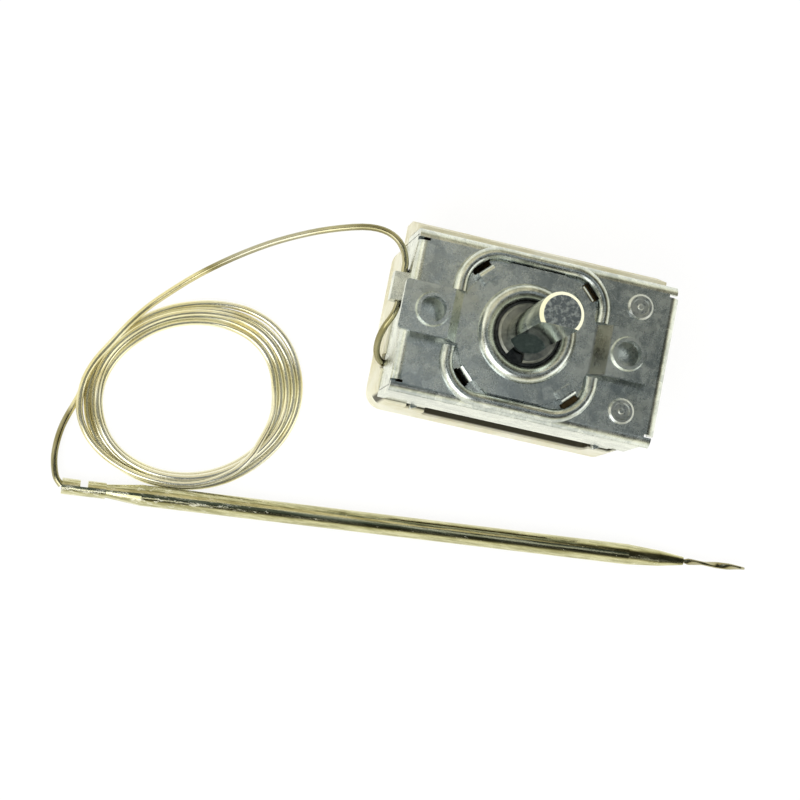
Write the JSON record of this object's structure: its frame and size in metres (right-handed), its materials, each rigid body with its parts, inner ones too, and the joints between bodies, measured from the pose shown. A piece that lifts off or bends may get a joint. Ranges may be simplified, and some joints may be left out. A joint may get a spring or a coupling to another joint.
{
  "type": "capillary temperature control",
  "caption": "Capillary temperature control: sheet-metal housing on a ceramic base, D-shaped spindle, and a coiled capillary with a sensing bulb.",
  "frame": {"origin": "on the spindle's axis, at the level of the tops of the two tapped collars, where the panel rests", "axes": "+Z along the spindle, out through the panel; X along the line of the two panel screws, the capillary leaves at -X; -Y is the window's side"},
  "size_m": [0.1029, 0.0477, 0.0412],
  "materials": {
    "galvanised_sheet": "bright galvanised sheet, finely mottled",
    "steatite": "cream steatite, matte, pressed",
    "brass": "turned brass, lightly tarnished",
    "steel_inner": "zinc-plated pressed steel",
    "rivet_steel": "plated rivet steel",
    "mica": "brown insulating laminate",
    "terminal_brass": "nickel-plated brass strip",
    "contact_silver": "silver contact, satin",
    "capillary_metal": "drawn tube, tinned, brown in places",
    "spindle_steel": "turned and plated steel",
    "dark_steel": "oiled spring steel",
    "capsule_steel": "pressed stainless disc, welded rim",
    "spring_bronze": "rolled bronze spring strip",
    "bulb_metal": "drawn tube, polished, olive-grey"
  },
  "bodies": {
    "frame": {"housing_shell": "galvanised_sheet", "mounting_bridge": "galvanised_sheet", "ceramic_base": "steatite", "spindle_bush": "dark_steel", "guide_bracket": "steel_inner", "guide_rivets": "rivet_steel", "insulating_plate": "mica", "fixed_terminal": "terminal_brass", "fixed_contact": "contact_silver", "common_terminal": "terminal_brass", "terminal_rivets": "rivet_steel", "calibration_screw": "brass", "capillary_lead": "capillary_metal", "capillary_tube": "capillary_metal", "capillary_coil": "capillary_metal", "capillary_tail": "capillary_metal", "bulb_ferrule": "bulb_metal", "sensing_bulb": "bulb_metal", "seal_stem": "capillary_metal"},
    "spindle_body": {"spindle": "spindle_steel", "retaining_ring": "steel_inner", "stop_washer": "steel_inner"},
    "carriage_body": {"carriage": "brass", "diaphragm_capsule": "capsule_steel"},
    "button_body": {"diaphragm_button": "steel_inner", "pressure_pin": "steatite"},
    "arm_body": {"contact_arm": "spring_bronze", "moving_contact": "contact_silver"}
  },
  "joints": [
    {"name": "spindle_turn", "type": "hinge", "parent": "frame", "child": "spindle_body", "pos_m": [0, 0, 0], "axis": [0, 0, 1], "range_deg": [-290, 0]},
    {"name": "carriage_travel", "type": "slide", "parent": "frame", "child": "carriage_body", "axis": [0, 0, 1], "range_m": [0, 0.000644]},
    {"name": "button_travel", "type": "slide", "parent": "carriage_body", "child": "button_body", "axis": [0, 0, -1], "range_m": [0, 0.0004], "stiffness_N_per_m": 500},
    {"name": "contact_swing", "type": "hinge", "parent": "frame", "child": "arm_body", "pos_m": [0.011, 0, -0.0159], "axis": [0, -1, 0], "range_deg": [0, 2.5]}
  ],
  "couplings": [
    {"joint": "spindle_turn", "follows": "carriage_travel", "rad_per_m": -7854},
    {"joint": "contact_swing", "follows": "button_travel", "rad_per_m": 90.909}
  ]
}
